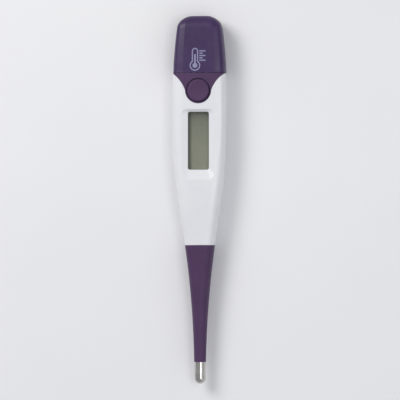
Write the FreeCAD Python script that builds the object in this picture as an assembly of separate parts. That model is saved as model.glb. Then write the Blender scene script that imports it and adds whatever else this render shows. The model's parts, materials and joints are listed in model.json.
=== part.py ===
# A pen-type digital thermometer: a white one-piece housing with a display window, a purple soft
# button pad, a pull-off battery cover, and a soft purple probe that bends and ends in a steel cap.
#
# Every station along the length is measured from the end of the battery cover, in millimetres.
# The finished solids are moved so that the origin lies on the resting plane, half way along.
# X runs towards the sensor tip, Z out of the display, and Y across.
import FreeCAD, Part
import math
import os
from FreeCAD import Vector

# ---------------------------------------------------------------- overall sizes
LENGTH = 135.0              # battery cover end to sensor tip
WIDTH = 19.8                # widest, beside the display
THICKNESS = 11.4            # resting face to display face
COVER_LENGTH = 21.0         # the battery cover, up to the seam
HOUSING_LENGTH = 63.0       # the visible part of the white housing
TIP_LENGTH = 8.0            # the visible part of the steel cap
TIP_RADIUS = 2.0
SLEEVE_END_RADIUS = 2.2     # the soft sleeve where it meets the steel cap

# ---------------------------------------------------------------- outer form
WIDE_FROM = 30.0            # the sides are parallel between these two stations
WIDE_TO = 40.0
DEEP_FROM = 22.0            # the faces are parallel between these two stations
DEEP_TO = 60.0
SIDE_RADIUS = 205.0         # plan curve of both sides
COVER_FACE_RADIUS = 300.0   # side-view curve of the cover's two faces
FACE_RADIUS = 205.0         # side-view curve of the housing's two faces
SIDE_INFLECTION = 74.0      # where the plan curve turns hollow
FACE_INFLECTION = 76.0      # where the side-view curve turns hollow
END_ROUND = 5.0             # length over which the cover's end closes
END_SHARE = 0.5             # the cover's flat end, as a share of its full section
FRONT_POWER = 4.5           # superellipse power of the display side
BACK_POWER = 2.7            # superellipse power of the resting side
FLAT_SHARE = 0.64           # flat part of the display face, as a share of the half width
BEVEL_DEG = 18.0            # slope of the bevels beside that flat
CROWN = 0.15                # how far the section stands over the flats that trim it
FACE_SINK = 0.03            # and how far those stand over the true planes of both faces
SECTION_POINTS = 48

# ---------------------------------------------------------------- walls and fits
HOUSING_WALL = 1.5
COVER_WALL = 1.2
NECK_WALL = 1.0
SLIDE_GAP = 0.12            # cover over neck
BOND_GAP = 0.03             # between pieces that are glued or moulded together
ASSEMBLY_GAP = 0.15         # between pieces that are only placed
SEAM_GAP = 0.15             # between the cover's mouth and the housing's shoulder
NECK_LENGTH = 12.0
NECK_CORNER = 3.0

# ---------------------------------------------------------------- display
WINDOW_START = 35.2
WINDOW_LENGTH = 21.2
WINDOW_WIDTH = 7.8
WINDOW_CORNER = 0.75
RECESS_DEPTH = 0.9          # dished surround of the window
RECESS_SIDE = 2.4
RECESS_TOP = 1.0            # margin towards the button
RECESS_BOTTOM = 3.6         # margin towards the probe
RECESS_CORNER = 2.0
LENS_THICKNESS = 0.9
LENS_LAND = 0.45            # raised middle of the lens, inside the window
LENS_MARGIN = 1.4
GASKET_THICKNESS = 0.2
FILM_THICKNESS = 0.18
GLASS_THICKNESS = 0.5
GLASS_MARGIN = 0.9          # glass beyond the window at each side
GLASS_LEDGE = 2.0           # front glass that overhangs for the contacts
ZEBRA_LENGTH = 1.4
LCD_TO_BOARD = 1.45
FRAME_WALL = 0.6

# ---------------------------------------------------------------- button
BUTTON_STATION = 27.3
BUTTON_RADIUS = 4.05
BUTTON_GROOVE = 0.45        # width of the thin web around the button
BUTTON_RISE = 0.45
BUTTON_TRAVEL = 0.5
BUTTON_DISH_RADIUS = 22.0
BUTTON_EDGE = 0.35
PAD_THICKNESS = 0.9
PAD_RIM = 0.3               # pad outside the groove, at the round end
PAD_BULGE = 0.70            # how far each horn's edge bows in
WEB_THICKNESS = 0.25
PLUNGER_RADIUS = 1.4
PLUNGER_GAP = 0.15
DOME_RADIUS = 3.0
DOME_HEIGHT = 0.42
DOME_SHEET = 0.1

# ---------------------------------------------------------------- electronics
BOARD_THICKNESS = 0.8
BOARD_END_GAP = 0.5         # battery tray to board
CHASSIS_LENGTH = 52.5
CHASSIS_FLOOR = 0.8
CHASSIS_RAIL = 0.85
LEDGE = 0.7
CELL_RADIUS = 3.95          # LR41 button cell
CELL_HEIGHT = 3.6
CELL_CAP_RADIUS = 3.1
CELL_CAP_HEIGHT = 0.35
CELL_GAP = 0.1
TRAY_WALL = 1.2
TRAY_FLOOR = 0.6
CONTACT_SHEET = 0.15
CONTACT_WIDTH = 3.0
BUZZER_RADIUS = 4.5
BUZZER_SHEET = 0.2
BUZZER_CRYSTAL_RADIUS = 3.3
WIRE_RADIUS = 0.25
WIRE_PITCH = 1.0

# ---------------------------------------------------------------- soft probe
ROOT_COLLAR = 7.0           # sleeve before the first bend
PLUG_LENGTH = 8.0           # sleeve root held inside the housing
PLUG_WALL = 1.2
HINGE_PITCH = 3.2
BEND_SHARES = (0.6, 0.9, 1.2, 1.2, 1.1)   # how the bend is spread from root to tip
BEND_UNIT_DEG = 18.0
HINGE_MARGIN = 0.1
SLEEVE_BORE = 1.0
TIP_WALL = 0.2
TIP_NECK_RADIUS = 1.6
TIP_NECK_LENGTH = 2.7
BEAD_RADIUS = 0.7
BEAD_LENGTH = 2.2
LEAD_RADIUS = 0.12

# ---------------------------------------------------------------- stations and levels
AXIS_Z = THICKNESS / 2
SEAM = COVER_LENGTH
HOUSING_END = SEAM + HOUSING_LENGTH
TIP_START = LENGTH - TIP_LENGTH
NECK_START = SEAM - NECK_LENGTH
BEVEL = math.tan(math.radians(BEVEL_DEG))

FACE_IN = THICKNESS - HOUSING_WALL                  # inside of the display wall
LENS_UNDER = FACE_IN - BOND_GAP - LENS_THICKNESS
FILM_TOP = LENS_UNDER - GASKET_THICKNESS
GLASS_TOP = FILM_TOP - FILM_THICKNESS
GLASS_SPLIT = GLASS_TOP - GLASS_THICKNESS
GLASS_UNDER = GLASS_SPLIT - GLASS_THICKNESS
BOARD_TOP = GLASS_UNDER - FILM_THICKNESS - LCD_TO_BOARD
BOARD_UNDER = BOARD_TOP - BOARD_THICKNESS

WINDOW_END = WINDOW_START + WINDOW_LENGTH
WINDOW_MIDDLE = WINDOW_START + WINDOW_LENGTH / 2
GLASS_HALF = WINDOW_WIDTH / 2 + GLASS_MARGIN
GLASS_START = WINDOW_START - 1.3
GLASS_END = WINDOW_END + 1.6
FRAME_HALF = GLASS_HALF + 0.1 + FRAME_WALL
BOARD_HALF = FRAME_HALF
FRAME_START = GLASS_START - 0.1 - FRAME_WALL
FRAME_END = GLASS_END + 0.1 + FRAME_WALL


# ---------------------------------------------------------------- profile of the outer form
def tapering(s, full, wide_from, wide_to, near_radius, far_radius, inflection, end):
    """Half size at station s: parallel in the middle, an arc to each side, then a hollow run to the tip."""
    if s < wide_from:
        run = wide_from - s
        return full - (near_radius - math.sqrt(near_radius ** 2 - run ** 2))
    if s <= wide_to:
        return full
    run = min(s, inflection) - wide_to
    size = full - (far_radius - math.sqrt(far_radius ** 2 - run ** 2))
    if s <= inflection:
        return size
    slope = run / math.sqrt(far_radius ** 2 - run ** 2)
    whole = TIP_START - inflection
    hollow = 2 * (end - size + slope * whole) / whole ** 2
    run = s - inflection
    return size - slope * run + hollow * run ** 2 / 2


def end_share(s):
    """How far the cover's rounded end has opened at station s, from END_SHARE to 1."""
    power = 2.3
    start = END_ROUND * (1 - (1 - END_SHARE ** power) ** (1 / power))
    run = min(1.0, (s + start) / END_ROUND)
    return (1 - (1 - run) ** power) ** (1 / power)


def half_width(s):
    return end_share(s) * tapering(s, WIDTH / 2, WIDE_FROM, WIDE_TO, SIDE_RADIUS, SIDE_RADIUS,
                                   SIDE_INFLECTION, SLEEVE_END_RADIUS)


def half_height(s):
    return end_share(s) * tapering(s, THICKNESS / 2, DEEP_FROM, DEEP_TO, COVER_FACE_RADIUS, FACE_RADIUS,
                                   FACE_INFLECTION, SLEEVE_END_RADIUS)


def roundness(s):
    """0 along the body, 1 at the sleeve's end, where the section is a circle."""
    share = (s - WIDE_TO) / (TIP_START - 12 - WIDE_TO)
    share = max(0.0, min(1.0, share))
    return share * share * (3 - 2 * share)


def section(s, inset=0.0):
    """Closed smooth outline of the form at station s: two superellipse halves joined at the sides."""
    blend = roundness(s)
    wide = half_width(s) - inset
    crown = CROWN * (1 - blend) * end_share(s)
    high = half_height(s) + crown - inset
    front = FRONT_POWER + (2.0 - FRONT_POWER) * blend
    back = BACK_POWER + (2.0 - BACK_POWER) * blend
    points = []
    for step in range(SECTION_POINTS):
        angle = 2 * math.pi * step / SECTION_POINTS
        c, n = math.cos(angle), math.sin(angle)
        power = front if n >= 0 else back
        reach = (abs(c / wide) ** power + abs(n / high) ** power) ** (-1 / power)
        points.append(Vector(s, reach * c, AXIS_Z + reach * n))
    curve = Part.BSplineCurve()
    curve.interpolate(Points=points, PeriodicFlag=True, Parameters=list(range(SECTION_POINTS + 1)))
    return Part.Wire(curve.toShape())


def trim_section(s, inset=0.0):
    """Flat-faced outline that trims the form: a flat back, a flat front and two bevels."""
    far = WIDTH
    high = half_height(s) - inset
    flat = FLAT_SHARE * half_width(s) - inset * math.tan(math.radians(BEVEL_DEG / 2))
    top, under = AXIS_Z + high + FACE_SINK, AXIS_Z - high - FACE_SINK
    low = top - (far - flat) * BEVEL
    outline = [(-far, under), (far, under), (far, low), (flat, top), (-flat, top), (-far, low)]
    return Part.makePolygon([Vector(s, y, z) for y, z in outline + outline[:1]])


def form(stations, inset=0.0):
    """The outer form between the first and last station, or its inside at a given inset."""
    body = Part.makeLoft([section(s, inset) for s in stations], True, False)
    trim = Part.makeLoft([trim_section(s, inset) for s in stations], True, False)
    planes = block(stations[0] - 1, stations[-1] + 1, WIDTH, inset, THICKNESS - inset)
    return body.common(trim).common(planes)


def spread(start, stop, count):
    return [start + (stop - start) * step / (count - 1) for step in range(count)]


def cover_stations(start, count=7):
    """Stations along the cover's rounded end, close together where it closes, then on to the seam."""
    closing = [END_ROUND * (1 - math.cos(math.pi / 2 * step / (count - 1))) for step in range(count)]
    closing = [s for s in closing if s > start + 0.05]
    return [start] + closing + spread(END_ROUND + 2.0, SEAM, 6)


# ---------------------------------------------------------------- small shape helpers
def block(start, stop, half, low, high):
    """A box from one station to another, symmetric across, between two heights."""
    return Part.makeBox(stop - start, 2 * half, high - low, Vector(start, -half, low))


def upright(radius, low, high, s, y=0.0):
    return Part.makeCylinder(radius, high - low, Vector(s, y, low), Vector(0, 0, 1))


def along(radius, start, stop, y=0.0, z=None):
    level = AXIS_Z if z is None else z
    return Part.makeCylinder(radius, stop - start, Vector(start, y, level), Vector(1, 0, 0))


def rounded(u0, v0, u1, v1, corner, place):
    """Closed rounded rectangle; place(u, v) gives the point in space."""
    cut = corner * (1 - math.sqrt(0.5))
    spots = [
        ((u0 + corner, v0), (u1 - corner, v0), (u1 - cut, v0 + cut)),
        ((u1, v0 + corner), (u1, v1 - corner), (u1 - cut, v1 - cut)),
        ((u1 - corner, v1), (u0 + corner, v1), (u0 + cut, v1 - cut)),
        ((u0, v1 - corner), (u0, v0 + corner), (u0 + cut, v0 + cut)),
    ]
    edges = []
    for number, (begin, finish, middle) in enumerate(spots):
        after = spots[(number + 1) % 4][0]
        edges.append(Part.LineSegment(place(*begin), place(*finish)).toShape())
        edges.append(Part.Arc(place(*finish), place(*middle), place(*after)).toShape())
    return Part.Wire(edges)


def tube_section(s, half_w, half_h, corner):
    return rounded(-half_w, AXIS_Z - half_h, half_w, AXIS_Z + half_h, corner, lambda y, z: Vector(s, y, z))


def prism(start, stop, half_w, half_h, corner):
    """A bar of rounded rectangular section along the length."""
    face = Part.Face(tube_section(start, half_w, half_h, corner))
    return face.extrude(Vector(stop - start, 0, 0))


def plate(s0, s1, half, corner, low, high):
    """A flat plate with rounded corners, parallel to the display."""
    outline = rounded(s0, -half, s1, half, corner, lambda s, y: Vector(s, y, low))
    return Part.Face(outline).extrude(Vector(0, 0, high - low))


# ---------------------------------------------------------------- neck and cover
NECK_HALF_W = half_width(NECK_START) - COVER_WALL - SLIDE_GAP
NECK_HALF_H = half_height(NECK_START) - COVER_WALL - SLIDE_GAP
NECK_IN_W = NECK_HALF_W - NECK_WALL
NECK_IN_H = NECK_HALF_H - NECK_WALL
NECK_IN_CORNER = NECK_CORNER - NECK_WALL
SEAL_STATION = SEAM - 5.0
SEAL_RADIUS = 0.3
SEAL_PROUD = 0.06
CHASSIS_HALF = NECK_IN_W - ASSEMBLY_GAP
CHASSIS_START = NECK_START + 0.5
CHASSIS_END = CHASSIS_START + CHASSIS_LENGTH
CHASSIS_UNDER = AXIS_Z - NECK_IN_H + ASSEMBLY_GAP
TRAY_HALF = CELL_RADIUS + CELL_GAP + TRAY_WALL
TRAY_UNDER = CHASSIS_UNDER
CELL_UNDER = TRAY_UNDER + TRAY_FLOOR
CELL_TOP = CELL_UNDER + CELL_HEIGHT
CELL_STATION = NECK_START + 0.2
TRAY_START = CELL_STATION - CELL_RADIUS - CELL_GAP - TRAY_WALL
TRAY_END = CELL_STATION + CELL_RADIUS + CELL_GAP + TRAY_WALL
BOARD_START = TRAY_END + BOARD_END_GAP
BOARD_END = CHASSIS_END - 1.0


def battery_cover():
    outer = form(cover_stations(0.0))
    step = NECK_START - 0.5
    wide = prism(step, SEAM + 1, NECK_HALF_W + SLIDE_GAP, NECK_HALF_H + SLIDE_GAP, NECK_CORNER + SLIDE_GAP)
    narrow = prism(TRAY_START - 1.2, step + 1, TRAY_HALF + 0.4, NECK_IN_H, 2.0)
    shell = outer.cut(wide).cut(narrow)
    shell = shell.cut(block(SEAM - SEAM_GAP, SEAM + 1, WIDTH, 0 - 1, THICKNESS + 1))
    return shell.cut(grip_grooves())


def grip_grooves():
    """Shallow grooves across the resting side of the cover, for a thumb."""
    depth, width, pitch, count = 0.35, 0.7, 1.7, 5
    inside = form(cover_stations(4.0), depth)
    grooves = []
    for number in range(count):
        start = 7.5 + pitch * number
        grooves.append(block(start, start + width, WIDTH, -1.0, AXIS_Z - 2.2).cut(inside))
    return Part.makeCompound(grooves)


def cover_seal():
    """Silicone ring in a groove round the neck."""
    path = tube_section(SEAL_STATION, NECK_HALF_W + SEAL_PROUD - SEAL_RADIUS,
                        NECK_HALF_H + SEAL_PROUD - SEAL_RADIUS, NECK_CORNER + SEAL_PROUD - SEAL_RADIUS)
    start = path.Edges[0].Vertexes[0].Point
    profile = Part.Wire(Part.Circle(start, Vector(0, 1, 0), SEAL_RADIUS).toShape())
    return path.makePipeShell([profile], True, False, 2)


# ---------------------------------------------------------------- button pad
def pad_outline(grow=0.0):
    """Plan outline of the soft pad: a straight end on the seam, two bowed edges, and a round end."""
    radius = BUTTON_RADIUS + BUTTON_GROOVE + PAD_RIM + grow
    start = SEAM
    wide = half_width(SEAM) + 0.1
    a, b = Vector(start, wide, 0), Vector(BUTTON_STATION, radius, 0)
    chord = b - a
    middle = (a + b) * 0.5 + Vector(chord.y, -chord.x, 0).normalize() * (PAD_BULGE - grow)
    flip = lambda p: Vector(p.x, -p.y, 0)
    edges = [
        Part.Arc(a, middle, b).toShape(),
        Part.Arc(b, Vector(BUTTON_STATION + radius, 0, 0), flip(b)).toShape(),
        Part.Arc(flip(b), flip(middle), flip(a)).toShape(),
        Part.LineSegment(flip(a), a).toShape(),
    ]
    return Part.Face(Part.Wire(edges))


def pad_stations():
    return spread(SEAM, BUTTON_STATION + BUTTON_RADIUS + 4.0, 5)


def pad_space(grow=0.0):
    """The room for the pad: the outer skin of the housing, over the pad's plan outline."""
    skin = pad_outline(grow).extrude(Vector(0, 0, THICKNESS))
    skin.translate(Vector(0, 0, AXIS_Z))
    inner = form([SEAM - 0.5] + pad_stations() + [pad_stations()[-1] + 0.5], PAD_THICKNESS + grow)
    return skin.cut(inner)


def button_pad():
    stations = pad_stations()
    pad = form(stations).common(pad_space())
    hole = upright(BUTTON_RADIUS + BUTTON_GROOVE, AXIS_Z, THICKNESS + 1, BUTTON_STATION)
    return pad.cut(hole)


def button_membrane():
    low = THICKNESS - PAD_THICKNESS
    outer = upright(BUTTON_RADIUS + BUTTON_GROOVE, low, low + WEB_THICKNESS, BUTTON_STATION)
    return outer.cut(upright(BUTTON_RADIUS, low - 1, low + 1, BUTTON_STATION))


def button():
    """The part that travels: a dished disc with a plunger under it."""
    low = THICKNESS - PAD_THICKNESS
    disc = upright(BUTTON_RADIUS, low, THICKNESS + BUTTON_RISE, BUTTON_STATION)
    top = [e for e in disc.Edges if abs(e.BoundBox.ZMin - (THICKNESS + BUTTON_RISE)) < 1e-6 and e.Closed]
    disc = disc.makeFillet(BUTTON_EDGE, top[:1])
    sag = (BUTTON_RADIUS - 0.6) ** 2 / (2 * BUTTON_DISH_RADIUS)
    centre = Vector(BUTTON_STATION, 0, THICKNESS + BUTTON_RISE + BUTTON_DISH_RADIUS - sag)
    disc = disc.cut(Part.makeSphere(BUTTON_DISH_RADIUS, centre))
    foot = BOARD_TOP + DOME_HEIGHT + PLUNGER_GAP
    return disc.fuse(upright(PLUNGER_RADIUS, foot, low + 0.1, BUTTON_STATION))


def dome_switch():
    """Snap dome on the board: a thin spherical cap."""
    radius = (DOME_RADIUS ** 2 + DOME_HEIGHT ** 2) / (2 * DOME_HEIGHT)
    centre = Vector(BUTTON_STATION, 0, BOARD_TOP + DOME_HEIGHT - radius)
    shell = Part.makeSphere(radius, centre).cut(Part.makeSphere(radius - DOME_SHEET, centre))
    return shell.common(upright(DOME_RADIUS, BOARD_TOP, THICKNESS, BUTTON_STATION))


# ---------------------------------------------------------------- housing
def window_recess():
    """Dished surround of the window, cut from above the face down to the window's edge."""
    lift = 0.5
    grow = (RECESS_DEPTH + lift) / RECESS_DEPTH
    upper = rounded(WINDOW_START - RECESS_TOP * grow, -WINDOW_WIDTH / 2 - RECESS_SIDE * grow,
                    WINDOW_END + RECESS_BOTTOM * grow, WINDOW_WIDTH / 2 + RECESS_SIDE * grow,
                    RECESS_CORNER * grow, lambda s, y: Vector(s, y, THICKNESS + lift))
    lower = rounded(WINDOW_START, -WINDOW_WIDTH / 2, WINDOW_END, WINDOW_WIDTH / 2,
                    WINDOW_CORNER, lambda s, y: Vector(s, y, THICKNESS - RECESS_DEPTH))
    return Part.makeLoft([lower, upper], True, True)


def locating_ribs():
    """Ribs inside the housing that hold the chassis in line with the neck."""
    first, last = BUTTON_STATION + BUTTON_RADIUS + 2.0, CHASSIS_END - 2.0
    tunnel = prism(SEAM, HOUSING_END, NECK_IN_W, NECK_IN_H, NECK_IN_CORNER)
    rooted = form(spread(first - 2, last + 2, 6), HOUSING_WALL / 2)
    ribs = []
    for station in spread(first, last, 3):
        slab = block(station - 0.5, station + 0.5, WIDTH, 0, GLASS_SPLIT)
        ribs.append(slab.common(rooted).cut(tunnel))
    return ribs


def housing():
    outer = form(spread(SEAM, HOUSING_END, 14))
    shoulder = SEAM + HOUSING_WALL
    nose = HOUSING_END - PLUG_LENGTH
    cavity = form(spread(shoulder, nose, 12), HOUSING_WALL)
    neck = prism(NECK_START, shoulder + 0.5, NECK_HALF_W, NECK_HALF_H, NECK_CORNER)
    neck_bore = prism(NECK_START - 1, shoulder + 1, NECK_IN_W, NECK_IN_H, NECK_IN_CORNER)
    body = outer.cut(cavity).fuse(neck).cut(neck_bore)
    body = body.cut(seal_groove())
    body = body.cut(form([nose - 1, nose + 3, HOUSING_END + 1], PLUG_WALL))
    body = body.cut(window_recess())
    body = body.cut(plate(WINDOW_START, WINDOW_END, WINDOW_WIDTH / 2, WINDOW_CORNER, FACE_IN - 1, THICKNESS))
    body = body.cut(pad_space(BOND_GAP))
    body = body.cut(upright(BUTTON_RADIUS + BUTTON_GROOVE, FACE_IN - 1, THICKNESS + 1, BUTTON_STATION))
    body = body.cut(lens_seat())
    return body.fuse(locating_ribs())


def lens_seat():
    """Flat seat for the lens on the inside of the display wall."""
    margin = LENS_MARGIN + ASSEMBLY_GAP
    return plate(WINDOW_START - margin, WINDOW_END + margin, WINDOW_WIDTH / 2 + margin,
                 1.5 + ASSEMBLY_GAP, GLASS_SPLIT, FACE_IN)


def seal_groove():
    depth = 2 * SEAL_RADIUS - SEAL_PROUD + 0.04
    half = SEAL_RADIUS + 0.15
    ring = prism(SEAL_STATION - half, SEAL_STATION + half, NECK_HALF_W + 1, NECK_HALF_H + 1, NECK_CORNER + 1)
    core = prism(SEAL_STATION - half, SEAL_STATION + half, NECK_HALF_W - depth, NECK_HALF_H - depth,
                 NECK_CORNER - depth)
    return ring.cut(core)


# ---------------------------------------------------------------- display stack
def window_lens():
    low = LENS_UNDER
    flange = plate(WINDOW_START - LENS_MARGIN, WINDOW_END + LENS_MARGIN, WINDOW_WIDTH / 2 + LENS_MARGIN,
                   1.5, low, low + LENS_THICKNESS)
    land = plate(WINDOW_START + BOND_GAP, WINDOW_END - BOND_GAP, WINDOW_WIDTH / 2 - BOND_GAP,
                 WINDOW_CORNER - BOND_GAP, low, FACE_IN + LENS_LAND)
    return flange.fuse(land)


def display_gasket():
    low = FILM_TOP
    outer = plate(WINDOW_START - 1.0, WINDOW_END + 1.0, WINDOW_WIDTH / 2 + 0.9, 1.2, low, low + GASKET_THICKNESS)
    inner = plate(WINDOW_START - 0.3, WINDOW_END + 0.3, WINDOW_WIDTH / 2 + 0.3, 0.9, low - 1, low + 1)
    return outer.cut(inner)


def lcd_front_polariser():
    return block(GLASS_START + 1.1, GLASS_END - 0.4, GLASS_HALF - 0.1, GLASS_TOP, FILM_TOP)


def lcd_front_glass():
    return block(GLASS_START, GLASS_END, GLASS_HALF, GLASS_SPLIT, GLASS_TOP)


def lcd_rear_glass():
    return block(GLASS_START + GLASS_LEDGE, GLASS_END, GLASS_HALF, GLASS_UNDER, GLASS_SPLIT)


def lcd_reflector():
    return block(GLASS_START + GLASS_LEDGE + 0.3, GLASS_END - 0.3, GLASS_HALF - 0.5,
                 GLASS_UNDER - FILM_THICKNESS, GLASS_UNDER)


def zebra_connector():
    start = GLASS_START + 0.3
    return block(start, start + ZEBRA_LENGTH, GLASS_HALF - 0.5, BOARD_TOP, GLASS_SPLIT)


def lcd_frame():
    ring = block(FRAME_START, FRAME_END, FRAME_HALF, BOARD_TOP, GLASS_TOP)
    upper = block(GLASS_START - 0.1, GLASS_END + 0.1, GLASS_HALF + 0.1, GLASS_UNDER, THICKNESS)
    lower = block(GLASS_START + GLASS_LEDGE + 0.2, GLASS_END - 0.2, GLASS_HALF - 0.4, 0, THICKNESS)
    slot = block(GLASS_START + 0.2, GLASS_START + GLASS_LEDGE - 0.2, GLASS_HALF - 0.4, 0, THICKNESS)
    return ring.cut(upper).cut(lower).cut(slot)


# ---------------------------------------------------------------- chassis and board
def chassis():
    tall = 2 * NECK_IN_H - 2 * ASSEMBLY_GAP
    bar = prism(CHASSIS_START, CHASSIS_END, CHASSIS_HALF, tall / 2, NECK_IN_CORNER - ASSEMBLY_GAP)
    bar = bar.common(block(CHASSIS_START, CHASSIS_END, WIDTH, 0, GLASS_SPLIT))
    bar = bar.cut(block(BOARD_START - 0.2, BOARD_END + 0.2, BOARD_HALF + 0.1, BOARD_UNDER, THICKNESS))
    bar = bar.cut(block(BOARD_START + 1.0, BOARD_END - 1.0, BOARD_HALF - LEDGE,
                        CHASSIS_UNDER + CHASSIS_FLOOR, THICKNESS))
    bar = bar.cut(block(CHASSIS_START - 1, BOARD_START, TRAY_HALF + ASSEMBLY_GAP, 0, THICKNESS))
    bar = bar.cut(block(BOARD_START - 1, BOARD_START + 2, CONTACT_WIDTH / 2 + 0.3, 0, THICKNESS))
    bar = bar.cut(upright(BUZZER_RADIUS - 0.6, 0, AXIS_Z, buzzer_station()))
    return bar.cut(block(BOARD_END - 1, CHASSIS_END + 1, 1.6, AXIS_Z - 1.0, THICKNESS))


def circuit_board():
    return block(BOARD_START, BOARD_END, BOARD_HALF, BOARD_UNDER, BOARD_TOP)


def chip_cover():
    """Black epoxy dome over the bare chip."""
    base, height = 3.0, 1.1
    radius = (base ** 2 + height ** 2) / (2 * height)
    ball = Part.makeSphere(radius, Vector(WINDOW_MIDDLE + 2, 0, BOARD_TOP + height - radius))
    return ball.common(block(WINDOW_START, WINDOW_END, base + 1, BOARD_TOP, THICKNESS))


def chips(places, length, width, height):
    low = BOARD_UNDER - height
    return Part.makeCompound([
        Part.makeBox(length, width, height, Vector(s - length / 2, y - width / 2, low)) for s, y in places
    ])


def chip_resistors():
    return chips([(24.0 + 2.6 * number, 2.2) for number in range(4)], 1.6, 0.8, 0.45)


def chip_capacitors():
    return chips([(24.0 + 3.4 * number, -2.2) for number in range(3)], 2.0, 1.25, 0.8)


def buzzer_station():
    return BOARD_END - 9.0


def buzzer_plate():
    low = CHASSIS_UNDER + CHASSIS_FLOOR
    return upright(BUZZER_RADIUS, low, low + BUZZER_SHEET, buzzer_station())


def buzzer_crystal():
    low = CHASSIS_UNDER + CHASSIS_FLOOR + BUZZER_SHEET
    return upright(BUZZER_CRYSTAL_RADIUS, low, low + BUZZER_SHEET, buzzer_station())


def buzzer_wires():
    plate_top = CHASSIS_UNDER + CHASSIS_FLOOR + BUZZER_SHEET
    outer = upright(WIRE_RADIUS, plate_top, BOARD_UNDER, buzzer_station() - BUZZER_CRYSTAL_RADIUS - 0.6)
    inner = upright(WIRE_RADIUS, plate_top + BUZZER_SHEET, BOARD_UNDER, buzzer_station())
    return Part.makeCompound([outer, inner])


# ---------------------------------------------------------------- battery
def battery_cell():
    can = upright(CELL_RADIUS, CELL_UNDER + CELL_CAP_HEIGHT, CELL_TOP, CELL_STATION)
    rim = [e for e in can.Edges if e.Closed]
    can = can.makeFillet(0.25, rim)
    return can.fuse(upright(CELL_CAP_RADIUS, CELL_UNDER, CELL_UNDER + CELL_CAP_HEIGHT + 0.1, CELL_STATION))


def battery_tray():
    """Drawer for the cell: floor, walls, a finger lip, and a slot for the lower contact."""
    box = plate(TRAY_START, TRAY_END, TRAY_HALF, 1.0, TRAY_UNDER, CELL_TOP - 0.1)
    edges = [e for e in box.Edges if abs(e.BoundBox.ZMax - TRAY_UNDER) < 1e-6]
    box = box.makeChamfer(0.9, edges)
    lip = block(TRAY_START, TRAY_START + 0.9, TRAY_HALF - 1.0, CELL_UNDER, AXIS_Z + NECK_IN_H - 0.5)
    box = box.fuse(lip)
    box = box.cut(upright(CELL_RADIUS + CELL_GAP, CELL_UNDER, THICKNESS, CELL_STATION))
    slot = CONTACT_WIDTH / 2 + 0.3
    box = box.cut(block(CELL_STATION - 1, TRAY_END + 1, slot, 0, CELL_UNDER + CELL_CAP_HEIGHT + 0.4))
    return box.cut(upright(CELL_RADIUS - 1.2, 0, THICKNESS, CELL_STATION))


def strip(points, width):
    """Bent sheet-metal strip: its centreline is a list of (station, height) corners."""
    half = CONTACT_SHEET / 2
    parts = []
    for (s0, z0), (s1, z1) in zip(points, points[1:]):
        run = math.hypot(s1 - s0, z1 - z0)
        bar = Part.makeBox(run, width, CONTACT_SHEET, Vector(0, -width / 2, -half))
        bar.rotate(Vector(0, 0, 0), Vector(0, -1, 0), math.degrees(math.atan2(z1 - z0, s1 - s0)))
        bar.translate(Vector(s0, 0, z0))
        parts.append(bar)
        joint = Part.makeCylinder(half, width, Vector(s1, -width / 2, z1), Vector(0, 1, 0))
        parts.append(joint)
    return parts[0].fuse(parts[1:-1]).removeSplitter()


def contact_plus():
    half = CONTACT_SHEET / 2
    rest, touch = BOARD_TOP + half, CELL_TOP + half + 0.02
    inner, outer = CELL_STATION + 1.0, BOARD_START + 0.4
    high = max(touch, rest) + 0.5
    return strip([(inner - 0.8, touch + 0.35), (inner, touch), (outer, high), (outer + 1.0, rest),
                  (outer + 3.0, rest)], CONTACT_WIDTH)


def contact_minus():
    half = CONTACT_SHEET / 2
    rest, touch = BOARD_UNDER - half, CELL_UNDER - half - 0.02
    inner, outer = CELL_STATION + 1.0, BOARD_START + 1.2
    return strip([(inner - 0.8, touch - 0.2), (inner, touch), (outer - 1.4, touch), (outer, rest),
                  (outer + 2.2, rest)], CONTACT_WIDTH)


# ---------------------------------------------------------------- soft probe
def hinges():
    """Stations of the bends with their kinds: up-and-down and side-to-side by turns, root to tip."""
    found = []
    for number in range(2 * len(BEND_SHARES)):
        station = HOUSING_END + ROOT_COLLAR + 2.0 + HINGE_PITCH * number
        found.append((station, BEND_SHARES[number // 2] * BEND_UNIT_DEG, number % 2 == 0))
    return found


def hinge_gap(station, degrees, upright_bend):
    """Room between two lengths of sleeve so that they can bend without touching."""
    near = station - 0.7
    radius = half_height(near) if upright_bend else half_width(near)
    return 2 * radius * math.tan(math.radians(degrees / 2)) + HINGE_MARGIN


def sleeve_cuts():
    """(start, stop) of each rigid length of the sleeve, from the housing to the steel cap."""
    starts, stops = [HOUSING_END], []
    for station, degrees, kind in hinges():
        half = hinge_gap(station, degrees, kind) / 2
        stops.append(station - half)
        starts.append(station + half)
    return list(zip(starts, stops + [TIP_START]))


def sleeve_lengths():
    """The sleeve's rigid lengths, each bored for the wires."""
    sleeve = form(spread(HOUSING_END + SEAM_GAP, TIP_START, 12))
    pieces = []
    for start, stop in sleeve_cuts():
        piece = sleeve.common(block(start, stop, WIDTH, 0, THICKNESS))
        pieces.append(piece.cut(along(SLEEVE_BORE, start - 1, stop + 1)))
    return pieces


def sleeve_root(first):
    """The sleeve's first length with the plug that the housing holds."""
    start = HOUSING_END - PLUG_LENGTH
    plug = form([start + 0.2, start + 3, HOUSING_END + 0.5], PLUG_WALL + BOND_GAP)
    flange = form([start - 1.5, start - 0.8, start - BOND_GAP], HOUSING_WALL + 0.4)
    link = form([start - 0.5, start, start + 0.7], PLUG_WALL + 0.6)
    root = first.fuse([plug, flange, link])
    return root.cut(along(SLEEVE_BORE, start - 3, first.BoundBox.XMax + 1))


def sleeve_tip(last):
    """The sleeve's last length, counterbored for the steel cap's neck."""
    return last.cut(along(TIP_NECK_RADIUS + BOND_GAP, TIP_START - TIP_NECK_LENGTH - 0.1, TIP_START + 1))


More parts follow.
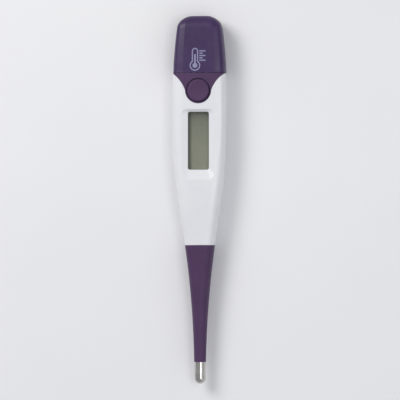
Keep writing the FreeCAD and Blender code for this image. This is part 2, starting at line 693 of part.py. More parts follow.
def tip_core(inset, start):
    """Round-ended plug of the steel cap's shape at a given inset, from a start station."""
    radius = TIP_RADIUS - inset
    ball = LENGTH - TIP_RADIUS
    stem = along(radius, start, ball)
    end = Part.makeSphere(radius, Vector(ball, 0, AXIS_Z))
    return stem.fuse(end.common(along(radius + 1, ball, LENGTH + 1)))


def sensor_tip():
    cup = tip_core(0.0, TIP_START).cut(tip_core(TIP_WALL, TIP_START + TIP_WALL))
    neck = along(TIP_NECK_RADIUS, TIP_START - TIP_NECK_LENGTH, TIP_START + 0.1)
    return cup.fuse(neck).cut(along(TIP_NECK_RADIUS - TIP_WALL, TIP_START - TIP_NECK_LENGTH - 1, TIP_START + 1))


BEAD_END = LENGTH - TIP_WALL - 0.7
WIRE_END = BEAD_END - BEAD_LENGTH - 2.0


def thermistor():
    start, stop = BEAD_END - BEAD_LENGTH + BEAD_RADIUS, BEAD_END - BEAD_RADIUS
    capsule = along(BEAD_RADIUS, start, stop)
    for station in (start, stop):
        capsule = capsule.fuse(Part.makeSphere(BEAD_RADIUS, Vector(station, 0, AXIS_Z)))
    return capsule


def thermistor_leads():
    side = 0.35
    stop = BEAD_END - BEAD_LENGTH + BEAD_RADIUS
    leads = [along(LEAD_RADIUS, WIRE_END, stop, y) for y in (-side, side)]
    return Part.makeCompound([lead.cut(thermistor()) for lead in leads])


def tip_filling():
    plug = tip_core(TIP_WALL + 0.01, WIRE_END)
    return plug.cut(thermistor()).cut(thermistor_leads())


def sensor_wires():
    start = BOARD_END + 0.05
    return Part.makeCompound([along(WIRE_RADIUS, start, WIRE_END, y, AXIS_Z) for y in wire_sides()])


def wire_sides():
    return (-WIRE_PITCH / 2, WIRE_PITCH / 2)


def solder_joints():
    """Solder at the board's end, one bead for each wire."""
    beads = []
    for y in wire_sides():
        ball = Part.makeSphere(0.45, Vector(BOARD_END - 0.4, y, BOARD_TOP - 0.1))
        beads.append(ball.cut(circuit_board()).common(block(BOARD_START, BOARD_END, 3, BOARD_TOP, THICKNESS)))
    return Part.makeCompound(beads)


# ---------------------------------------------------------------- assembly
def parts():
    lengths = sleeve_lengths()
    made = {
        "housing": housing(),
        "battery_cover": battery_cover(),
        "cover_seal": cover_seal(),
        "button_pad": button_pad(),
        "button_membrane": button_membrane(),
        "button": button(),
        "dome_switch": dome_switch(),
        "window_lens": window_lens(),
        "display_gasket": display_gasket(),
        "lcd_front_polariser": lcd_front_polariser(),
        "lcd_front_glass": lcd_front_glass(),
        "lcd_rear_glass": lcd_rear_glass(),
        "lcd_reflector": lcd_reflector(),
        "lcd_frame": lcd_frame(),
        "zebra_connector": zebra_connector(),
        "chassis": chassis(),
        "circuit_board": circuit_board(),
        "chip_cover": chip_cover(),
        "chip_resistors": chip_resistors(),
        "chip_capacitors": chip_capacitors(),
        "buzzer_plate": buzzer_plate(),
        "buzzer_crystal": buzzer_crystal(),
        "buzzer_wires": buzzer_wires(),
        "battery_cell": battery_cell(),
        "battery_tray": battery_tray(),
        "contact_plus": contact_plus(),
        "contact_minus": contact_minus(),
        "sensor_wires": sensor_wires(),
        "solder_joints": solder_joints(),
        "sleeve_root": sleeve_root(lengths[0]),
        "sleeve_tip": sleeve_tip(lengths[-1]),
        "sensor_tip": sensor_tip(),
        "thermistor": thermistor(),
        "thermistor_leads": thermistor_leads(),
        "tip_filling": tip_filling(),
    }
    for number, piece in enumerate(lengths[1:-1], start=1):
        made[f"sleeve_link_{number:02d}"] = piece
    return made


def main():
    os.makedirs("parts", exist_ok=True)
    for name, shape in parts().items():
        shape.translate(Vector(-LENGTH / 2, 0, 0))
        solids = shape.Solids
        whole = solids[0] if len(solids) == 1 else Part.makeCompound(solids)
        if not whole.isValid() or not solids:
            print("not valid:", name)
        whole.exportStep(f"parts/{name}.step")
    for number, (station, degrees, kind) in enumerate(hinges(), start=1):
        axis = "up" if kind else "side"
        print(f"bend {number}: {axis}, x {station - LENGTH / 2:.3f}, z {AXIS_Z:.3f}, {degrees:.2f} degrees")


main()
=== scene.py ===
"""Digital thermometer with a soft bending probe: looks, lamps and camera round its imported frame."""
import json
import math
import bpy
import bmesh
import numpy as np
from mathutils import Matrix, Vector
from mathutils.bvhtree import BVHTree


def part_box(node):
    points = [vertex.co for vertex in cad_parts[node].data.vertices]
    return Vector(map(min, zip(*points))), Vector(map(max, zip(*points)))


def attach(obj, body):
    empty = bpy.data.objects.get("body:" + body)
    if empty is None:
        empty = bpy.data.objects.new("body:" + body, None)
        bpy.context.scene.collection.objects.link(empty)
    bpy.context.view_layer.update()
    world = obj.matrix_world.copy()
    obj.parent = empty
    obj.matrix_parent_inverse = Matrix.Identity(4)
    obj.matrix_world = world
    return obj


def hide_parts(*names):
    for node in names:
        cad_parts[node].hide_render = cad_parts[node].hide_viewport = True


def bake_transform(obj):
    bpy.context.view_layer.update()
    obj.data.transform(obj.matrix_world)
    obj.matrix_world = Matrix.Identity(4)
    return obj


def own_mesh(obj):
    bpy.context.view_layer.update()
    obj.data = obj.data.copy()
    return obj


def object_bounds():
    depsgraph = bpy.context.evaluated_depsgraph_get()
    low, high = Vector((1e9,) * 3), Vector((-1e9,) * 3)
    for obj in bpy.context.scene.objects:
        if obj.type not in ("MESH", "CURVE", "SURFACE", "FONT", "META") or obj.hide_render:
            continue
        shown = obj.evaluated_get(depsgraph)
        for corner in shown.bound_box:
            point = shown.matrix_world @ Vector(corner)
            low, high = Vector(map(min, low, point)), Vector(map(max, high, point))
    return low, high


MM = 0.001

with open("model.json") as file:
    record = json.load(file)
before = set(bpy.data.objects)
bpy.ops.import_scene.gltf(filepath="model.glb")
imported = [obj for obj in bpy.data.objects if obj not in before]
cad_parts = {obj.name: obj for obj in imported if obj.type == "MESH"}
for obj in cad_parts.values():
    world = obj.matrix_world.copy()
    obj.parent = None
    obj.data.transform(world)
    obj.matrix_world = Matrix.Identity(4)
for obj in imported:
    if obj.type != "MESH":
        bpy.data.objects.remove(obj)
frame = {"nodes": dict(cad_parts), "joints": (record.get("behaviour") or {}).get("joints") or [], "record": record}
cad_low, cad_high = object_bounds()
nodes = frame["nodes"]
scene = bpy.context.scene

# ------------------------------------------------------------------ materials
FINISHES = {}               # each material by its name; CAD nodes find theirs by slot


def srgb(red, green, blue):
    """Linear colour from the 0 to 255 values of a screen colour."""
    shares = (red / 255, green / 255, blue / 255)
    return tuple(s / 12.92 if s <= 0.04045 else ((s + 0.055) / 1.055) ** 2.4 for s in shares)


class Nodes:
    """A material's node tree with short calls for the nodes used here."""

    def __init__(self, name):
        self.material = bpy.data.materials.new(name)
        FINISHES[name] = self.material
        self.material.use_nodes = True
        self.tree = self.material.node_tree
        self.tree.nodes.clear()
        self.output = self.add("OutputMaterial")
        self.place = self.add("TexCoord").outputs["Object"]

    def add(self, kind, **values):
        """A new node with some of its settings."""
        node = self.tree.nodes.new("ShaderNode" + kind)
        for key, value in values.items():
            setattr(node, key, value)
        return node

    def link(self, source, target):
        """Joins an output socket to an input socket."""
        self.tree.links.new(source, target)

    def noise(self, per_mm, detail, stretch=(1, 1, 1)):
        """Noise with a given number of cells to the millimetre."""
        mapping = self.add("Mapping")
        mapping.inputs["Scale"].default_value = stretch
        self.link(self.place, mapping.inputs["Vector"])
        noise = self.add("TexNoise")
        noise.inputs["Scale"].default_value = per_mm / MM
        noise.inputs["Detail"].default_value = detail
        self.link(mapping.outputs["Vector"], noise.inputs["Vector"])
        return noise.outputs["Fac"]

    def spread(self, source, low, high, start=0.3, stop=0.7):
        """source from start to stop becomes low to high; noise is mostly from 0.3 to 0.7."""
        span = self.add("MapRange")
        for name, value in (("From Min", start), ("From Max", stop),
                            ("To Min", low), ("To Max", high)):
            span.inputs[name].default_value = value
        self.link(source, span.inputs["Value"])
        return span.outputs["Result"]

    def mix(self, factor, first, second):
        """Colour from first to second by a socket; each colour is a tuple or a socket."""
        mix = self.add("Mix", data_type="RGBA")
        self.link(factor, mix.inputs["Factor"])
        for name, value in (("A", first), ("B", second)):
            socket = [s for s in mix.inputs if s.name == name and s.type == "RGBA"][0]
            if isinstance(value, tuple):
                socket.default_value = (*value, 1)
            else:
                self.link(value, socket)
        return [s for s in mix.outputs if s.type == "RGBA"][0]

    def bump(self, height, strength, relief):
        """Normals of a height that is relief millimetres deep."""
        bump = self.add("Bump")
        bump.inputs["Strength"].default_value = strength
        bump.inputs["Distance"].default_value = relief * MM
        self.link(height, bump.inputs["Height"])
        return bump.outputs["Normal"]

    def shader(self, colour, roughness, normal=None, **fixed):
        """A Principled shader; fixed are its constant sockets by name, with _ for a space."""
        node = self.add("BsdfPrincipled")
        for name, value in (("Base Color", colour), ("Roughness", roughness)):
            if isinstance(value, tuple):
                node.inputs[name].default_value = (*value, 1)
            elif isinstance(value, float):
                node.inputs[name].default_value = value
            else:
                self.link(value, node.inputs[name])
        if normal is not None:
            self.link(normal, node.inputs["Normal"])
        for name, value in fixed.items():
            node.inputs[name.replace("_", " ")].default_value = value
        self.link(node.outputs[0], self.output.inputs["Surface"])
        return node


def moulded(name, colour, other, rough, grain=6.0, relief=0.004, strength=0.35, **fixed):
    """Moulded plastic or rubber: faint cloudy colour, fine grain, uneven gloss."""
    n = Nodes(name)
    cloud = n.spread(n.noise(per_mm=0.09, detail=3), low=0, high=1)
    speck = n.spread(n.noise(per_mm=grain * 0.6, detail=2), low=0, high=0.35)
    base = n.mix(speck, n.mix(cloud, colour, other), other)
    gloss = n.spread(n.noise(per_mm=0.5, detail=4), low=rough - 0.05, high=rough + 0.06)
    normal = n.bump(n.noise(per_mm=grain, detail=3), strength, relief)
    n.shader(base, gloss, normal, **fixed)


def metal(name, colour, other, rough, lines=9.0, stretch=(0.06, 1, 1), relief=0.003):
    """Rolled or polished metal with fine lines along one direction, so many to the millimetre."""
    n = Nodes(name)
    streak = n.noise(per_mm=lines, detail=4, stretch=stretch)
    cloud = n.noise(per_mm=0.25, detail=3)
    base = n.mix(n.spread(cloud, low=0, high=1), colour, other)
    gloss = n.spread(streak, low=rough - 0.07, high=rough + 0.09)
    normal = n.bump(streak, strength=0.25, relief=relief)
    n.shader(base, gloss, normal, Metallic=1.0)


def clear(name, tint, rough, ior):
    """Clear plastic or glass that lets the lamps through to what lies behind it."""
    n = Nodes(name)
    gloss = n.spread(n.noise(per_mm=0.8, detail=3), low=rough, high=rough + 0.015)
    glass = n.shader(tint, gloss, Transmission_Weight=1.0, IOR=ior)
    through = n.add("BsdfTransparent")
    through.inputs["Color"].default_value = (*tint, 1)
    path = n.add("LightPath")
    both = n.add("MixShader")
    n.link(path.outputs["Is Shadow Ray"], both.inputs[0])
    n.link(glass.outputs[0], both.inputs[1])
    n.link(through.outputs[0], both.inputs[2])
    n.link(both.outputs[0], n.output.inputs["Surface"])


DISPLAY = srgb(116, 118, 103)
DISPLAY_CLOUD = srgb(110, 112, 98)
DISPLAY_STREAK = srgb(98, 100, 86)
DISPLAY_CELL = srgb(102, 104, 90)
# colour of the painted shadow that the window's walls would cast on the display film
DISPLAY_PAINTED_SHADOW = srgb(62, 64, 54)
PAINTED_SHADOW_FROM_END = 1.3 * MM   # the painted shadow starts this far inside the film's end
PAINTED_SHADOW_FROM_SIDE = 0.9 * MM  # and this far inside its side
PAINTED_SHADOW_LONG = 0.6            # share of the film's length at which the slow painted shadow has faded
PAINTED_SHADOW_SHORT = 2.6 * MM      # length of the quick painted shadow at the end
PAINTED_SHADOW_SIDE = 1.0 * MM       # and of the one along the side


def display_film(name):
    """The face of the blank display: grey-green with a soft cell pattern, and painted shadow darkening it by two
    edges.
    """
    n = Nodes(name)
    base = n.mix(n.spread(n.noise(per_mm=0.12, detail=2), low=0, high=1), DISPLAY, DISPLAY_CLOUD)
    streak = n.noise(per_mm=1.1, detail=2, stretch=(0.04, 1, 1))
    base = n.mix(n.spread(streak, low=0, high=0.45), base, DISPLAY_STREAK)
    base = n.mix(n.spread(n.noise(per_mm=9.0, detail=1), low=0, high=0.4), base, DISPLAY_CELL)
    low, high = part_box("lcd_front_polariser")
    end, side = low.x + PAINTED_SHADOW_FROM_END, low.y + PAINTED_SHADOW_FROM_SIDE
    axes = n.add("SeparateXYZ")
    n.link(n.place, axes.inputs[0])
    # painted shadow: the film's colour darkens towards its end and one side, in place of the window walls' shade
    for axis, darkest, start, stop in (("X", 0.42, end, low.x + PAINTED_SHADOW_LONG * (high.x - low.x)),
                                       ("X", 0.40, end, end + PAINTED_SHADOW_SHORT),
                                       ("Y", 0.30, side, side + PAINTED_SHADOW_SIDE)):
        painted_shade = n.spread(axes.outputs[axis], low=darkest, high=0, start=start, stop=stop)
        base = n.mix(painted_shade, base, DISPLAY_PAINTED_SHADOW)
    gloss = n.spread(n.noise(per_mm=1.2, detail=3), low=0.42, high=0.50)
    normal = n.bump(n.noise(per_mm=14.0, detail=2), strength=0.15, relief=0.002)
    n.shader(base, gloss, normal, Specular_IOR_Level=0.25)


def banded(name, dark, light, per_mm, rough, axis):
    """Layered strip: bands across one direction."""
    n = Nodes(name)
    wave = n.add("TexWave", wave_type="BANDS", bands_direction=axis)
    wave.inputs["Scale"].default_value = per_mm / MM
    wave.inputs["Distortion"].default_value = 0.4
    n.link(n.place, wave.inputs["Vector"])
    base = n.mix(wave.outputs["Fac"], dark, light)
    gloss = n.spread(n.noise(per_mm=2, detail=2), low=rough - 0.05, high=rough + 0.05)
    n.shader(base, gloss, n.bump(wave.outputs["Fac"], strength=0.3, relief=0.01))


TRACK_CELL = 2.2 * MM       # size of the pattern of copper tracks


def board(name):
    """Solder mask over copper tracks."""
    n = Nodes(name)
    brick = n.add("TexBrick", offset=0.5)
    brick.inputs["Scale"].default_value = 1 / TRACK_CELL
    brick.inputs["Mortar Size"].default_value = 0.07
    brick.inputs["Mortar Smooth"].default_value = 0.2
    n.link(n.place, brick.inputs["Vector"])
    cloud = n.spread(n.noise(per_mm=0.3, detail=3), low=0, high=1)
    mask = n.mix(cloud, srgb(18, 92, 52), srgb(12, 74, 44))
    base = n.mix(brick.outputs["Fac"], mask, srgb(58, 130, 74))
    normal = n.bump(brick.outputs["Fac"], strength=0.5, relief=0.03)
    n.shader(base, n.spread(n.noise(per_mm=3, detail=2), low=0.22, high=0.34), normal)


PURPLE = srgb(68, 49, 91)
PURPLE_DEEP = srgb(59, 42, 81)
PLUM = srgb(80, 52, 92)
PLUM_DEEP = srgb(70, 45, 82)

moulded("white_abs", srgb(233, 233, 237), srgb(227, 228, 233),
        rough=0.34, grain=5.0, relief=0.003, strength=0.22,
        Subsurface_Weight=0.08, Subsurface_Radius=(0.0012, 0.0011, 0.0010), Subsurface_Scale=1.0,
        Coat_Weight=0.12, Coat_Roughness=0.2)
moulded("purple_abs", PURPLE, PURPLE_DEEP,
        rough=0.36, grain=5.0, relief=0.003, strength=0.28, Specular_IOR_Level=0.35)
moulded("purple_tpe", PLUM, PLUM_DEEP,
        rough=0.54, grain=4.0, relief=0.006, strength=0.45, Specular_IOR_Level=0.35,
        Sheen_Weight=0.05, Sheen_Roughness=0.5)
moulded("purple_web", PLUM_DEEP, PURPLE_DEEP, rough=0.6, grain=4.0, relief=0.006, strength=0.45)
clear("clear_lens", (0.97, 0.98, 0.975), rough=0.015, ior=1.49)
moulded("gasket_foam", srgb(34, 34, 36), srgb(24, 24, 26),
        rough=0.85, grain=3.0, relief=0.03, strength=0.8)
clear("lcd_glass", (0.93, 0.96, 0.92), rough=0.01, ior=1.52)
display_film("polariser")
metal("reflector", srgb(150, 152, 146), srgb(136, 139, 132), rough=0.5)
moulded("black_abs", srgb(40, 40, 43), srgb(31, 31, 34),
        rough=0.45, grain=4.0, relief=0.006, strength=0.4)
moulded("natural_abs", srgb(206, 203, 192), srgb(194, 191, 181),
        rough=0.5, grain=4.0, relief=0.006, strength=0.4)
banded("zebra_silicone", srgb(40, 38, 40), srgb(196, 130, 130), per_mm=1.6, rough=0.6, axis="Y")
board("board_laminate")
moulded("black_epoxy", srgb(20, 20, 22), srgb(28, 28, 30),
        rough=0.22, grain=2.0, relief=0.01, strength=0.3)
moulded("component_ceramic", srgb(150, 122, 92), srgb(136, 108, 82), rough=0.45, grain=5.0)
moulded("resistor_body", srgb(26, 26, 30), srgb(36, 36, 40), rough=0.35, grain=5.0)
moulded("piezo_ceramic", srgb(214, 210, 196), srgb(200, 196, 182), rough=0.35)
metal("brass_sheet", srgb(212, 178, 104), srgb(196, 160, 88), rough=0.32)
metal("spring_steel", srgb(206, 202, 190), srgb(190, 186, 174), rough=0.26)
metal("cell_steel", srgb(208, 208, 206), srgb(192, 192, 190),
      rough=0.24, lines=6.0, stretch=(1, 1, 0.1))
metal("tip_steel", srgb(205, 203, 199), srgb(182, 180, 177),
      rough=0.2, lines=14.0, stretch=(1, 0.05, 0.05), relief=0.002)
moulded("seal_silicone", srgb(196, 197, 202), srgb(182, 183, 189),
        rough=0.42, grain=4.0, relief=0.006)
moulded("wire_sleeving", srgb(176, 44, 40), srgb(154, 36, 34), rough=0.45)
metal("solder", srgb(206, 206, 204), srgb(184, 184, 182), rough=0.22)
moulded("thermistor_glass", srgb(164, 96, 60), srgb(140, 78, 46), rough=0.12, grain=3.0)
moulded("filling_epoxy", srgb(198, 194, 176), srgb(184, 180, 162), rough=0.4, grain=4.0)
moulded("print_ink", srgb(142, 142, 176), srgb(134, 134, 169), rough=0.5, grain=8.0, relief=0.002)

slot_of = {part["node"]: part["material_slot"] for part in frame["record"]["subparts"]}
for name, node in nodes.items():
    node.data.materials.clear()
    node.data.materials.append(FINISHES[slot_of[name]])

# ------------------------------------------------------------------ mesh helpers
SHARP_DEG = 40              # an edge that turns more than this is drawn as an edge


def piece(name, vertices, faces, finish, smooth=True):
    """A new mesh object with one finish."""
    mesh = bpy.data.meshes.new(name)
    mesh.from_pydata([tuple(v) for v in vertices], [], faces)
    mesh.validate()
    fix = bmesh.new()
    fix.from_mesh(mesh)
    bmesh.ops.recalc_face_normals(fix, faces=fix.faces)
    fix.to_mesh(mesh)
    fix.free()
    mesh.polygons.foreach_set("use_smooth", [smooth] * len(mesh.polygons))
    if smooth:
        mesh.set_sharp_from_angle(angle=math.radians(SHARP_DEG))
    mesh.materials.append(FINISHES[finish])
    made = bpy.data.objects.new(name, mesh)
    scene.collection.objects.link(made)
    return made


def joined(shapes):
    """Vertices and faces of several shapes as one; each shape is its vertices and its faces."""
    vertices, faces = [], []
    for more, outline in shapes:
        faces += [tuple(len(vertices) + i for i in face) for face in outline]
        vertices += more
    return vertices, faces


def surface_tree(*names):
    """What a ray meets on these CAD nodes."""
    meshes = [nodes[name].data for name in names]
    return BVHTree.FromPolygons(*joined(
        ([v.co.copy() for v in mesh.vertices], [p.vertices for p in mesh.polygons])
        for mesh in meshes))


def rings_to_tube(rings):
    """Vertices and faces of a closed shape: each ring joins the next, and the last the first."""
    count, total = len(rings[0]), len(rings)
    vertices = [v for ring in rings for v in ring]
    faces = []
    for row in range(total):
        a, b = row * count, (row + 1) % total * count
        for step in range(count):
            beside = (step + 1) % count
            faces.append((a + step, a + beside, b + beside, b + step))
    return vertices, faces


def solid_bar(rings):
    """Vertices and faces of a closed bar through the rings, with flat ends."""
    count = len(rings[0])
    vertices = [v for ring in rings for v in ring]
    faces = [tuple(range(count)), tuple(range(len(vertices) - 1, len(vertices) - count - 1, -1))]
    for row in range(len(rings) - 1):
        a, b = row * count, (row + 1) * count
        for step in range(count):
            beside = (step + 1) % count
            faces.append((a + step, a + beside, b + beside, b + step))
    return vertices, faces


# ------------------------------------------------------------------ soft sleeve of the probe
bends = sorted((j for j in frame["joints"] if j["name"].startswith("bend_")),
               key=lambda j: j["pos_m"][0])
HINGES = [j["pos_m"][0] for j in bends]
AXIS_Z = bends[0]["pos_m"][2]
PITCH = HINGES[1] - HINGES[0]

links = ["sleeve_root"] + sorted(n for n in nodes if n.startswith("sleeve_link_")) + ["sleeve_tip"]
SLEEVE_GAP = 0.15 * MM      # from the housing's end to the sleeve's skin
sleeve_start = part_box("housing")[1].x + SLEEVE_GAP
sleeve_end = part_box("sleeve_tip")[1].x

SLEEVE_SIDES = 72
SLEEVE_BORE = 0.98 * MM     # radius of the hole for the wires
MEASURE_INSET = 0.05 * MM   # a link is measured this far inside its ends
MEASURE_REACH = 20          # by rays that come in from this many mm off the axis
ROOT_STATIONS = 5
LINK_STATIONS = 3
CURVE_DEGREE = 6
ROOT_RINGS, BEND_RINGS, TIP_RINGS = 14, 15, 8
BORE_RINGS = 7
ROOT_LIP = 0.12 * MM        # radius of the sleeve's rounded start
TIP_LIP = 0.18 * MM         # and of its end at the steel cap
LIP_STEPS = 4
LIP_REACH = 0.3 * MM        # the plain rings stay this far from a rounded end
WIRE_RADIUS = 0.25 * MM
WIRE_OFFSET = 0.5 * MM      # each wire's middle to the probe's axis
WIRE_SIDES = 12


def sleeve_profile():
    """Outer radius of the sleeve for each direction, as a smooth curve along the length."""
    tree = surface_tree(*links)
    angles = [2 * math.pi * step / SLEEVE_SIDES for step in range(SLEEVE_SIDES)]
    stations = []
    for name in links:
        low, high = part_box(name)
        low.x = max(low.x, sleeve_start)
        count = ROOT_STATIONS if name == "sleeve_root" else LINK_STATIONS
        stations += list(np.linspace(low.x + MEASURE_INSET, high.x - MEASURE_INSET, count))
    rows = []
    for x in stations:
        core = Vector((x, 0, AXIS_Z))
        row = []
        for angle in angles:
            out = Vector((0, math.cos(angle), math.sin(angle)))
            hit = tree.ray_cast(core + out * MEASURE_REACH * MM, -out)[0]
            row.append((hit - core).length)
        rows.append(row)
    middle, half = (sleeve_start + sleeve_end) / 2, (sleeve_end - sleeve_start) / 2
    curves = np.polyfit((np.array(stations) - middle) / half, np.array(rows), CURVE_DEGREE)

    def radii(x):
        """The sleeve's radius in every direction at station x."""
        powers = ((x - middle) / half) ** np.arange(CURVE_DEGREE, -1, -1)
        return powers @ curves

    return radii, angles


radii_at, directions = sleeve_profile()


def sleeve_ring(x, shrink):
    """The sleeve's outline at station x, drawn in by shrink."""
    radii = radii_at(x) - shrink
    return [Vector((x, r * math.cos(a), AXIS_Z + r * math.sin(a)))
            for r, a in zip(radii, directions)]


def circle_ring(x, radius, y, count):
    """A circle across the probe at station x, with its middle at y."""
    turns = [2 * math.pi * i / count for i in range(count)]
    return [Vector((x, y + radius * math.cos(a), AXIS_Z + radius * math.sin(a))) for a in turns]


def sleeve_piece(name, start, stop, rings):
    """One length of the sleeve's skin, bored for the wires. Rings are (station, shrink)."""
    outer = [sleeve_ring(x, shrink) for x, shrink in rings]
    inner = [circle_ring(x, SLEEVE_BORE, 0, SLEEVE_SIDES)
             for x in np.linspace(start, stop, BORE_RINGS)]
    made = piece(name, *rings_to_tube(outer + inner[::-1]), "purple_tpe")
    return made


def wires_piece(name, start, stop, count):
    """One length of the two wires, through so many rings."""
    stations = np.linspace(start, stop, count)
    wires = [solid_bar([circle_ring(x, WIRE_RADIUS, y, WIRE_SIDES) for x in stations])
             for y in (-WIRE_OFFSET, WIRE_OFFSET)]
    made = piece(name, *joined(wires), "wire_sleeving")
    return made


def lip(x, inward, radius):
    """Rings that round the sleeve over, from its full outline to its end at station x.

    inward is 1 or -1, the way along the length from that end into the sleeve."""
    rings = []
    for step in range(LIP_STEPS + 1):
        turn = math.pi / 2 * step / LIP_STEPS
        rings.append((x + inward * radius * (1 - math.sin(turn)), radius * (1 - math.cos(turn))))
    return rings


def plain(start, stop, count):
    """Evenly spaced rings of the full outline."""
    return [(x, 0) for x in np.linspace(start, stop, count)]


def sleeve():
    """The sleeve and its wires: a fixed root, one length over each hinge, a fixed tip."""
    first, last = HINGES[0] - PITCH / 2, HINGES[-1] + PITCH / 2
    wires_low, wires_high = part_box("sensor_wires")
    rings = lip(sleeve_start, 1, ROOT_LIP)[::-1]
    rings += plain(sleeve_start + LIP_REACH, first, ROOT_RINGS)
    root = sleeve_piece("sleeve_skin_root", sleeve_start, first, rings)
    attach(root, "thermometer_body")
    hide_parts("sleeve_root")
    wires = wires_piece("wires_root", wires_low.x, first, count=4)
    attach(wires, "thermometer_body")
    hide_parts("sensor_wires")
    for number, joint in enumerate(bends, 1):
        start, stop = joint["pos_m"][0] - PITCH / 2, joint["pos_m"][0] + PITCH / 2
        rings = plain(start, stop, BEND_RINGS)
        skin = sleeve_piece(f"sleeve_skin_{number:02d}", start, stop, rings)
        if links[number] != "sleeve_tip":
            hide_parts(links[number])
        inside = wires_piece(f"wires_{number:02d}", start, stop, count=9)
        for made in (skin, inside):
            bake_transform(made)
    rings = plain(last, sleeve_end - LIP_REACH, TIP_RINGS) + lip(sleeve_end, -1, TIP_LIP)
    tip = sleeve_piece("sleeve_skin_tip", last, sleeve_end, rings)
    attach(tip, "probe_end")
    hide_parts("sleeve_tip")
    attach(wires_piece("wires_tip", last, wires_high.x, count=3), "probe_end")


sleeve()

# ------------------------------------------------------------------ snap dome under the button
DOME_SIDES = 48
DOME_RINGS = 10
DOME_CROWN = 0.05           # share of its radius that is flat at the top
DOME_SHEET = 0.1 * MM
DOME_EDGE = 0.04 * MM       # thickness of the sheet at the rim


def snap_dome():
    """Thin sprung cap under the button, drawn domed as it stands at rest."""
    low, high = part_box("dome_switch")
    centre, radius, height = (low + high) / 2, (high.x - low.x) / 2, high.z - low.z
    turns = [2 * math.pi * step / DOME_SIDES for step in range(DOME_SIDES)]
    upper, under = [], []
    for ring in range(DOME_RINGS + 1):
        reach = DOME_CROWN + (1 - DOME_CROWN) * ring / DOME_RINGS
        level = low.z + height * (1 - reach ** 2)
        top = low.z + DOME_EDGE if ring == DOME_RINGS else max(level, low.z)
        for rings, z in ((upper, top), (under, max(level - DOME_SHEET, low.z))):
            rings.append([Vector((centre.x + radius * reach * math.cos(turn),
                                  centre.y + radius * reach * math.sin(turn), z))
                          for turn in turns])
    dome = piece("snap_dome", *solid_bar(upper + under[::-1]), "spring_steel")
    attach(dome, "thermometer_body")
    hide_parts("dome_switch")
    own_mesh(dome)


snap_dome()

# ------------------------------------------------------------------ web round the button
WEB_GAP = 0.03 * MM         # lets the button's wall slide past the web
WEB_DIP = 0.07 * MM         # the web sags a little between its edges
WEB_SIDES = 96
WEB_STEPS = 6


def button_web():
    """Thin ring at the foot of the groove, a little hollow on both faces."""
    low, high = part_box("button_membrane")
    disc_low, disc_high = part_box("button")
    centre = (low + high) / 2
    inner, outer = (disc_high.x - disc_low.x) / 2 + WEB_GAP, (high.x - low.x) / 2
    shares = [step / WEB_STEPS for step in range(WEB_STEPS + 1)]
    section = [(inner + (outer - inner) * share, high.z - WEB_DIP * math.sin(math.pi * share))
               for share in shares]
    section += [(inner + (outer - inner) * share, low.z + WEB_DIP * math.sin(math.pi * share) / 2)
                for share in reversed(shares)]
    rings = []
    for side in range(WEB_SIDES):
        turn = 2 * math.pi * side / WEB_SIDES
        rings.append([Vector((centre.x + r * math.cos(turn), centre.y + r * math.sin(turn), z))
                      for r, z in section])
    web = piece("button_web", *rings_to_tube(rings), "purple_web")
    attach(web, "thermometer_body")
    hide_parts("button_membrane")


button_web()

# ------------------------------------------------------------------ printed sign on the cover
SIGN_FROM_SEAM = 4.8 * MM   # middle of the sign to the cover's mouth
INK = 0.025 * MM            # how far the ink stands on the cover
INK_ROOT = 0.02 * MM        # and how far its underside is sunk
RAY_ABOVE = 5 * MM          # rays that find the cover's face start this far above it

# The drawing itself, in mm across and along the cover, from the middle of the sign.
LINE = 0.21                 # half width of the drawn lines
BULB_ACROSS, BULB_ALONG = -1.15, -2.2
BULB_RADIUS, STEM_HALF, STEM_TOP = 1.75, 0.95, 4.0
STEM_POINTS = 10
FILL_RADIUS = BULB_RADIUS - 4 * LINE
FILL_START = 0.995          # the fill starts this share of its radius below the bulb's middle
FILL_POINT = 0.05           # and its half width there is at least this
COLUMN_HALF = LINE * 1.4
COLUMN_TOP = STEM_TOP - 2.1
COLUMN_POINTS = 44
MARKS = 5                   # long and short in turn, from the top
MARK_TOP, MARK_SPACING = STEM_TOP - 0.9, 0.85
MARK_START = BULB_ACROSS + STEM_HALF + 3 * LINE
MARK_LONG, MARK_SHORT = 2.3, 1.3
MARK_POINTS = 6


def arc(along, radius, start, stop, count):
    """Points of an arc round a place on the stem's middle line."""
    return [(BULB_ACROSS + radius * math.cos(a), along + radius * math.sin(a))
            for a in np.linspace(start, stop, count)]


def sign_outline():
    """Closed outline of the stem and bulb."""
    lean = math.asin(STEM_HALF / BULB_RADIUS)
    neck = BULB_ALONG + BULB_RADIUS * math.cos(lean)
    shoulder = STEM_TOP - STEM_HALF
    points = [(BULB_ACROSS + STEM_HALF, v) for v in np.linspace(neck, shoulder, STEM_POINTS)[1:-1]]
    points += arc(shoulder, STEM_HALF, 0, math.pi, count=17)
    points += [(BULB_ACROSS - STEM_HALF, v) for v in np.linspace(shoulder, neck, STEM_POINTS)[1:-1]]
    points += arc(BULB_ALONG, BULB_RADIUS, math.pi / 2 + lean, math.pi * 5 / 2 - lean, count=49)
    return points


def filled_column():
    """The fill of the bulb and the column above it: points up its middle, and half widths."""
    levels = np.linspace(BULB_ALONG - FILL_RADIUS * FILL_START, COLUMN_TOP, COLUMN_POINTS)
    halves = []
    for level in levels:
        round_half = math.sqrt(max(FILL_RADIUS ** 2 - (level - BULB_ALONG) ** 2, 0))
        halves.append(max(round_half, COLUMN_HALF if level > BULB_ALONG else FILL_POINT))
    return [(BULB_ACROSS, level) for level in levels], halves


def ribbon(points, halves, place, closed=False):
    """A flat printed line through (across, along) points, laid on the cover by place."""
    rings = []
    count = len(points)
    for number, (across, along) in enumerate(points):
        before = points[(number - 1) % count] if closed or number else points[0]
        after = points[(number + 1) % count] if closed or number + 1 < count else points[-1]
        run = Vector((after[0] - before[0], after[1] - before[1])).normalized()
        aside = Vector((-run.y, run.x)) * halves[number]
        left, right = (across + aside.x, along + aside.y), (across - aside.x, along - aside.y)
        rings.append([place(left, INK), place(right, INK),
                      place(right, -INK_ROOT), place(left, -INK_ROOT)])
    return rings_to_tube(rings) if closed else solid_bar(rings)


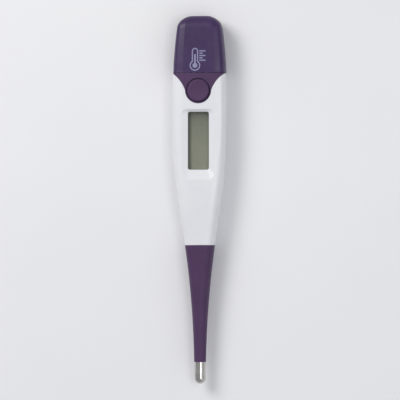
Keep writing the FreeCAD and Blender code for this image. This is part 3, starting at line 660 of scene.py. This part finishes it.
def printed_sign():
    """A plain sign in ink on the cover: a thermometer with marks beside it."""
    tree = surface_tree("battery_cover")
    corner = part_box("battery_cover")[1]

    def place(point, lift):
        """The spot on the cover's face under a point of the drawing, raised by lift."""
        spot = Vector((corner.x - SIGN_FROM_SEAM - point[1] * MM, point[0] * MM,
                       corner.z + RAY_ABOVE))
        hit = tree.ray_cast(spot, Vector((0, 0, -1)))[0]
        return hit + Vector((0, 0, lift))

    outline = sign_outline()
    shapes = [ribbon(outline, [LINE] * len(outline), place, closed=True),
              ribbon(*filled_column(), place)]
    for number in range(MARKS):
        along = MARK_TOP - MARK_SPACING * number
        reach = MARK_LONG if number % 2 == 0 else MARK_SHORT
        mark = [(u, along) for u in np.linspace(MARK_START, MARK_START + reach, MARK_POINTS)]
        shapes.append(ribbon(mark, [LINE] * MARK_POINTS, place))
    sign = piece("printed_sign", *joined(shapes), "print_ink", smooth=False)
    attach(sign, "battery_cover")


printed_sign()

# ------------------------------------------------------------------ camera, light and floor
AIM = (cad_low + cad_high) / 2
CAMERA_TURN = math.radians(7.5)     # from straight above, about the long axis
CAMERA_DISTANCE = 1.2
FIELD = 0.147                       # width of the view at the thermometer
SENSOR = 36
SKY_COLOUR = (0.90, 0.92, 0.95, 1)
SKY_STRENGTH = 0.44
LAMPS = (  # name, place, size, watts, colour
    ("key", (-0.35, -0.38, 0.55), (0.35, 0.35), 2.8, (1.0, 0.985, 0.96)),
    ("fill", (0.30, 0.50, 0.45), (0.5, 0.5), 0.5, (0.95, 0.97, 1.0)),
    ("top", (0.0, 0.36, 0.84), (0.4, 0.3), 1.3, (1.0, 1.0, 1.0)),
)
FLOOR_SIZE = 6.0


def camera():
    """A long lens above the thermometer, with the cover at the top of the picture."""
    data = bpy.data.cameras.new("camera")
    data.sensor_width = SENSOR
    data.lens = SENSOR * CAMERA_DISTANCE / FIELD
    data.clip_start, data.clip_end = 0.01, 20
    made = bpy.data.objects.new("camera", data)
    scene.collection.objects.link(made)
    back = Vector((0, math.sin(CAMERA_TURN), math.cos(CAMERA_TURN)))
    made.location = AIM + back * CAMERA_DISTANCE
    right = Vector((-1, 0, 0)).cross(back).normalized()
    up = back.cross(right)
    rotation = [[right[i], up[i], back[i]] for i in range(3)]
    made.rotation_mode = "QUATERNION"
    made.rotation_quaternion = Matrix(rotation).to_quaternion()
    scene.camera = made


def softbox(name, place, size, watts, colour):
    """A rectangular lamp that points at the thermometer."""
    data = bpy.data.lights.new(name, "AREA")
    data.shape = "RECTANGLE"
    data.size, data.size_y = size
    data.energy = watts
    data.color = colour
    made = bpy.data.objects.new(name, data)
    made.location = place
    made.rotation_mode = "QUATERNION"
    made.rotation_quaternion = (AIM - Vector(place)).to_track_quat("-Z", "Y")
    scene.collection.objects.link(made)


def surroundings():
    """Pale sky, three lamps and a card floor."""
    world = bpy.data.worlds.new("studio")
    world.use_nodes = True
    sky = world.node_tree.nodes["Background"]
    sky.inputs["Color"].default_value = SKY_COLOUR
    sky.inputs["Strength"].default_value = SKY_STRENGTH
    scene.world = world
    for lamp in LAMPS:
        softbox(*lamp)
    bpy.ops.mesh.primitive_plane_add(size=FLOOR_SIZE, location=(0, 0, 0))
    floor = bpy.context.object
    floor.name = "floor"
    n = Nodes("floor_card")
    cloud = n.spread(n.noise(per_mm=0.01, detail=3), low=0, high=1)
    base = n.mix(cloud, srgb(240, 240, 242), srgb(236, 236, 239))
    n.shader(base, 0.8, n.bump(n.noise(per_mm=1.5, detail=3), strength=0.1, relief=0.02))
    floor.data.materials.append(n.material)
    scene.view_settings.view_transform = "Standard"
    scene.view_settings.look = "None"


camera()
surroundings()
